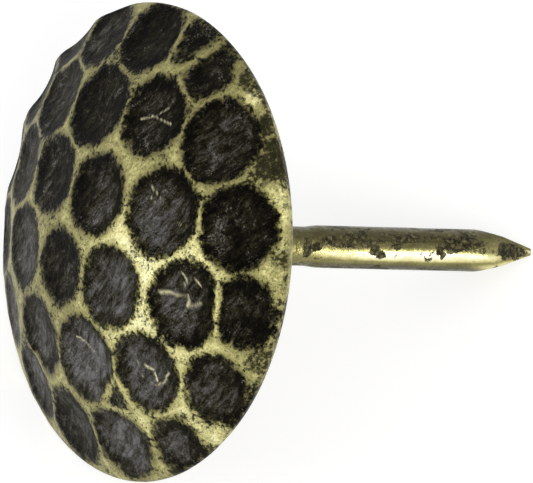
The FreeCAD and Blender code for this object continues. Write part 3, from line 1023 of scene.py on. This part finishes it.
@dataclass
class WirePin:
    """The pin: upset foot, necked grip with die nicks, plain shank and four-sided point."""

    place: RestingPlace
    radius: float = 0.5
    neck_radius: float = 0.46
    foot_radius: float = 1.1
    foot_top: float = 1.0493
    foot_thickness: float = 0.35
    foot_taper: float = 0.12
    neck_end: float = 4.6
    neck_taper: float = 0.35
    reach: float = 11.15
    point_length: float = 1.63
    tip_half: float = 0.08
    nick_depth: float = 0.05
    nick_width: float = 0.16
    nick_pitch: float = 0.42
    nicks: int = 4
    nick_bearings: tuple[float, float] = (-45.0, 135.0)
    facet_bearings: tuple[float, ...] = (-45.0, 45.0, 135.0, 225.0)
    corners_round: int = 128
    hollow_depth: float = 0.006
    dark_spots: tuple[WireSpot, ...] = (
        WireSpot(4.36, -45.0, 0.16, 0.34, 0.7), WireSpot(4.62, -44.0, 0.16, 0.14, 0.8),
        WireSpot(5.62, -25.0, 0.95, 0.24, 0.8), WireSpot(7.20, -14.0, 2.40, 0.20, 0.62),
        WireSpot(8.75, -27.0, 0.90, 0.24, 0.82), WireSpot(6.95, -40.0, 0.22, 0.10, 0.7),
        WireSpot(6.28, -50.0, 0.15, 0.17, 0.85), WireSpot(6.50, -64.0, 0.17, 0.11, 0.85),
        WireSpot(8.18, -52.0, 0.10, 0.09, 0.8), WireSpot(8.28, -62.0, 0.07, 0.10, 0.8),
        WireSpot(9.42, -46.0, 0.12, 0.11, 0.7), WireSpot(10.52, -45.0, 0.66, 0.36, 0.9),
        WireSpot(7.0, -116.0, 3.2, 0.09, 0.62), WireSpot(7.45, -90.0, 0.22, 0.07, 0.6),
        WireSpot(8.80, -92.0, 0.20, 0.06, 0.6), WireSpot(7.0, 60.0, 1.2, 0.25, 0.7),
        WireSpot(5.6, 120.0, 0.8, 0.30), WireSpot(8.8, 170.0, 0.9, 0.25),
        WireSpot(3.2, 100.0, 0.7, 0.30), WireSpot(2.4, -60.0, 0.8, 0.35),
    )
    # Painted shade: the wire painted duller along its top and in a few other places
    painted_shade_spots: tuple[WireSpot, ...] = (
        WireSpot(6.6, 10.0, 4.6, 0.46), WireSpot(7.0, -112.0, 4.0, 0.18, 0.9),
        WireSpot(10.45, -45.0, 0.45, 0.24, 0.9), WireSpot(6.0, 168.0, 4.5, 0.30, 0.8),
    )
    # Painted highlight: a bright band down the side facing the lamps, and a few bright spots
    painted_highlight_spots: tuple[WireSpot, ...] = (
        WireSpot(7.5, -66.0, 3.0, 0.15, 1.0), WireSpot(4.55, -50.0, 0.05, 0.10, 1.0),
        WireSpot(10.3, -100.0, 1.0, 0.16, 0.8), WireSpot(7.0, 140.0, 3.0, 0.20, 0.8),
        WireSpot(11.05, -45.0, 0.12, 0.20, 0.8),
    )

    def heights(self) -> np.ndarray:
        """Heights of the rings of the wire, closer together at the nicks and the point."""
        spans = ((0.55, -3.05, 0.05), (-3.05, -5.05, 0.02), (-5.05, -9.35, 0.045),
                 (-9.35, -self.reach, 0.02))
        rows = [np.arange(start, end, -step) for start, end, step in spans]
        return np.concatenate([*rows, [-self.reach + 0.004]])

    def wire_radius(self, bearing: np.ndarray, height: np.ndarray) -> np.ndarray:
        """Radius of the wire at bearings and heights: neck, nicks, shank and point.

        Args:
            bearing: Bearings in radians.
            height: Heights in the upright frame.

        Returns:
            The radius at each.
        """
        down = -height
        neck_start = self.foot_thickness + self.foot_taper - self.foot_top
        narrowing = np.clip((down - neck_start) / (self.neck_end - neck_start), 0.0, 1.0)
        widening = np.clip((down - self.neck_end) / self.neck_taper, 0.0, 1.0)
        sides = [self.radius - (self.radius - self.neck_radius) * (narrowing - widening)]
        for turn in self.nick_bearings:
            facing = np.maximum(np.cos(bearing - math.radians(turn)), 1e-3)
            for index in range(self.nicks):
                middle = self.neck_end - self.nick_width / 2.0 - index * self.nick_pitch
                slope = (self.radius - self.neck_radius + self.nick_depth) * 2.0 / self.nick_width
                floor = self.neck_radius - self.nick_depth + np.abs(down - middle) * slope
                sides.append(np.where(facing > 0.2, floor / facing, self.radius * 2.0))
        share = np.clip((down - self.reach + self.point_length) / self.point_length, 0.0, 1.0)
        flat = self.radius - (self.radius - self.tip_half) * share
        for turn in self.facet_bearings:
            facing = np.maximum(np.cos(bearing - math.radians(turn)), 1e-3)
            sides.append(np.where(facing > 0.3, flat / facing, self.radius * 2.0))
        return soft_lowest(np.stack(sides, axis=1), 0.004)

    def spotted(self, points: np.ndarray, spots: tuple[WireSpot, ...]) -> np.ndarray:
        """Strength of a set of soft spots at each point, from 0 to 1."""
        bearing = np.arctan2(points[:, 1], points[:, 0])
        strength = np.zeros(len(points))
        for spot in spots:
            turn = np.angle(np.exp(1j * (bearing - math.radians(spot.bearing))))
            along = (-points[:, 2] - spot.down) / spot.half_length
            off = np.hypot(along, turn * self.radius / spot.half_width)
            strength = np.maximum(strength, spot.strength * (1.0 - smooth_step(0.5, 1.3, off)))
        return strength

    def build(self) -> bpy.types.Object:
        """Make the pin, dress it, attach it to the root body and hide the imported pin part."""
        turn = np.linspace(0.0, 2.0 * math.pi, self.corners_round, endpoint=False)
        under = self.foot_top - self.foot_thickness
        foot = ((self.foot_top, self.foot_radius * 0.5), (self.foot_top, self.foot_radius - 0.04),
                (self.foot_top - 0.015, self.foot_radius - 0.01),
                (self.foot_top - 0.05, self.foot_radius), (under + 0.05, self.foot_radius),
                (under + 0.012, self.foot_radius - 0.015), (under, self.foot_radius - 0.06),
                (under, self.radius + self.foot_taper + 0.08),
                (under - 0.01, self.radius + self.foot_taper - 0.01),
                (under - 0.06, self.radius + 0.055),
                (under - self.foot_taper, self.radius))
        rings = [level_ring(radius, turn, height) for height, radius in foot]
        for height in self.heights():
            radius = self.wire_radius(turn, np.full(len(turn), height))
            rings.append(level_ring(radius, turn, height))
        blunt = rings[-1] * np.array([0.55, 0.55, 1.0])
        blunt[:, 2] = -self.reach
        rings.append(blunt)
        wall = np.concatenate(rings)
        hollow = 0.5 + 0.5 * np.clip(grain(wall * np.array([1.0, 1.0, 0.6]), 1.6, 3, 23.0), -1, 1)
        across = np.linalg.norm(wall[:, :2], axis=1)
        wall[:, :2] *= (1.0 - self.hollow_depth * hollow / np.maximum(across, 0.1))[:, None]
        points = np.concatenate([wall, [[0.0, 0.0, self.foot_top], [0.0, 0.0, -self.reach]]])

        count = self.corners_round
        around = np.arange(count)
        following = np.roll(around, -1)
        faces = []
        for index in range(len(rings) - 1):
            upper, lower = index * count, (index + 1) * count
            faces += np.stack([upper + around, lower + around, lower + following,
                               upper + following], axis=1).tolist()
        top, tip = len(wall), len(wall) + 1
        last = (len(rings) - 1) * count
        faces += [[top, int(a), int(b)] for a, b in zip(around, following)]
        faces += [[tip, int(last + b), int(last + a)] for a, b in zip(around, following)]
        piece = build_piece("wire_pin", points, faces, {
            Coat.PATINA_AND_PAINTED_SHADE: self.spotted(points, self.dark_spots),
            Coat.TONE_AND_PAINTED_SHADING: self.spotted(points, self.painted_shade_spots),
            Coat.WEAR_AND_PAINTED_HIGHLIGHT: self.spotted(points, self.painted_highlight_spots)}, self.place)
        piece.data.materials.append(PinBrass().material())
        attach(piece, "root")
        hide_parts("pin")
        return piece


@dataclass
class WeldFlash:
    """The uneven bead of metal squeezed out where the foot is welded to the cap."""

    place: RestingPlace
    ring_radius: float = 1.13
    bead: float = 0.075
    height: float = 1.03
    steps_round: int = 160
    steps_over: int = 14

    def build(self) -> bpy.types.Object:
        """Make the bead and dress it."""
        turn = np.linspace(0.0, 2.0 * math.pi, self.steps_round, endpoint=False)
        over = np.linspace(0.0, 2.0 * math.pi, self.steps_over, endpoint=False)
        ring = np.stack([np.cos(turn), np.sin(turn), np.zeros(len(turn))], axis=1)
        swell = 1.0 + 0.35 * grain(ring * self.ring_radius, 2.2, 3, 71.0)
        points = np.concatenate([
            np.stack([(self.ring_radius + self.bead * size * np.cos(over)) * math.cos(angle),
                      (self.ring_radius + self.bead * size * np.cos(over)) * math.sin(angle),
                      self.height + self.bead * size * np.sin(over)], axis=1)
            for angle, size in zip(turn, swell)])
        count = self.steps_over
        faces = []
        for index in range(self.steps_round):
            here, there = index * count, (index + 1) % self.steps_round * count
            for step in range(count):
                after = (step + 1) % count
                faces.append([here + step, there + step, there + after, here + after])
        piece = build_piece("weld_flash", points, faces, {}, self.place)
        piece.data.materials.append(WeldMetal().material())
        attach(piece, "root")
        return piece


@dataclass(frozen=True)
class SoftLight:
    """A large soft lamp: the way it lies from the tack, its distance, size and strength."""

    name: str
    way: tuple[float, float, float]
    distance: float
    size: float
    watts: float

    def build(self, target: Vector) -> bpy.types.Object:
        """Hang the lamp and turn it to the tack."""
        data = bpy.data.lights.new(self.name, "AREA")
        data.shape = "DISK"
        data.size = self.size
        data.energy = self.watts
        lamp = bpy.data.objects.new(self.name, data)
        lamp.location = target + Vector(self.way).normalized() * self.distance
        lamp.rotation_euler = (target - lamp.location).to_track_quat("-Z", "Y").to_euler()
        bpy.context.scene.collection.objects.link(lamp)
        return lamp


@dataclass
class Studio:
    """A pale floor, soft lamps and a camera that looks down on the tack as the photograph does."""

    place: RestingPlace
    floor_half: float = 0.3
    floor_clearance: float = 0.000002
    ambient: float = 0.50
    floor_colour: float = 0.60
    floor_glow: float = 0.64
    view_lean: float = 53.5
    view_bearing: float = -45.0
    pin_slope: float = 1.5
    image_width: float = 533.0
    image_height: float = 483.0
    rim_column: float = 144.0
    rim_row: float = 242.0
    pixels_per_mm: float = 43.33
    lens: float = 1400.0
    sensor: float = 36.0
    lamps: tuple[SoftLight, ...] = (
        SoftLight("key_lamp", (-0.25, -0.85, 0.75), 0.16, 0.07, 0.060),
        SoftLight("low_strip_lamp", (0.55, -0.80, 0.16), 0.14, 0.05, 0.040),
        SoftLight("left_low_lamp", (-0.90, 0.05, 0.25), 0.14, 0.06, 0.040),
    )

    def seen_directly(self, tree: bpy.types.NodeTree) -> bpy.types.NodeSocket:
        """1 for rays from the camera, a mirror or glass, and 0 for all others."""
        path = tree.nodes.new("ShaderNodeLightPath")
        shown = path.outputs["Is Camera Ray"]
        for other in ("Is Glossy Ray", "Is Transmission Ray"):
            joined = tree.nodes.new("ShaderNodeMath")
            joined.operation = "MAXIMUM"
            tree.links.new(shown, joined.inputs[0])
            tree.links.new(path.outputs[other], joined.inputs[1])
            shown = joined.outputs[0]
        return shown

    def build_floor(self) -> bpy.types.Object:
        """Lay the pale floor."""
        half, height = self.floor_half, -self.floor_clearance
        mesh = bpy.data.meshes.new("floor")
        mesh.from_pydata([(-half, -half, height), (half, -half, height), (half, half, height),
                          (-half, half, height)], [], [(0, 1, 2, 3)])
        floor = bpy.data.objects.new("floor", mesh)
        bpy.context.scene.collection.objects.link(floor)
        bench = NodeBench("pale_floor")
        matt = bench.add("ShaderNodeBsdfDiffuse")
        matt.inputs["Color"].default_value = (*[self.floor_colour] * 3, 1.0)
        glow = bench.add("ShaderNodeEmission")
        bench.feed(glow.inputs["Strength"], bench.maths(
            "MULTIPLY", self.seen_directly(bench.tree), self.floor_glow))
        both = bench.add("ShaderNodeAddShader")
        output = bench.add("ShaderNodeOutputMaterial")
        bench.tree.links.new(matt.outputs[0], both.inputs[0])
        bench.tree.links.new(glow.outputs[0], both.inputs[1])
        bench.tree.links.new(both.outputs[0], output.inputs["Surface"])
        mesh.materials.append(bench.material)
        return floor

    def build_world(self) -> None:
        """Light the tack evenly, with white where the camera or a mirror looks."""
        world = bpy.data.worlds.new("studio_world")
        world.use_nodes = True
        bpy.context.scene.world = world
        tree = world.node_tree
        background = tree.nodes["Background"]
        background.inputs["Color"].default_value = (1.0, 1.0, 1.0, 1.0)
        strength = tree.nodes.new("ShaderNodeMapRange")
        strength.inputs["To Min"].default_value = self.ambient
        strength.inputs["To Max"].default_value = 1.0
        tree.links.new(self.seen_directly(tree), strength.inputs["Value"])
        tree.links.new(strength.outputs["Result"], background.inputs["Strength"])

    def build_camera(self) -> bpy.types.Object:
        """Place a long lens so that the rim's middle and the pin lie as in the photograph."""
        _, _, up_axis = self.place.axes()
        lean = math.radians(self.view_lean)
        back = (up_axis * math.cos(lean)
                + self.place.bearing_way(self.view_bearing) * math.sin(lean)).normalized()
        along_pin = (self.place.pin_way - back * self.place.pin_way.dot(back)).normalized()
        over_pin = back.cross(along_pin)
        slope = math.radians(self.pin_slope)
        right = along_pin * math.cos(slope) + over_pin * math.sin(slope)
        up = back.cross(right)
        step = MM / self.pixels_per_mm
        aim = (self.place.rim_middle
               + right * (self.image_width / 2.0 - self.rim_column) * step
               - up * (self.image_height / 2.0 - self.rim_row) * step)
        distance = self.image_width * step * self.lens / self.sensor
        data = bpy.data.cameras.new("camera")
        data.lens = self.lens
        data.sensor_width = self.sensor
        data.clip_start = distance * 0.05
        data.clip_end = distance * 10.0
        camera = bpy.data.objects.new("camera", data)
        turn = Matrix((right, up, back)).transposed().to_4x4()
        camera.matrix_world = Matrix.Translation(aim + back * distance) @ turn
        bpy.context.scene.collection.objects.link(camera)
        bpy.context.scene.camera = camera
        return camera

    def build(self) -> None:
        """Set up the floor, the lamps, the world, the camera and the plain view."""
        self.build_floor()
        target = Vector((0.0, 0.0, 0.004))
        for lamp in self.lamps:
            lamp.build(target)
        self.build_world()
        self.build_camera()
        bpy.context.scene.view_settings.view_transform = "Standard"


def main() -> None:
    """Build the tack on its frame and set up the studio round it."""
    logging.basicConfig(level=logging.INFO, format="%(name)s: %(message)s")
    for other in list(bpy.data.objects):
        bpy.data.objects.remove(other)
    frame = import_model()
    place = RestingPlace.from_record(frame["record"], SHANK_MIDDLE)
    for maker in (HammeredCap(place), WirePin(place), WeldFlash(place)):
        piece = maker.build()
        log.info("%s: %d faces", piece.name, len(piece.data.polygons))
    Studio(place).build()


if __name__ == "__main__":
    main()
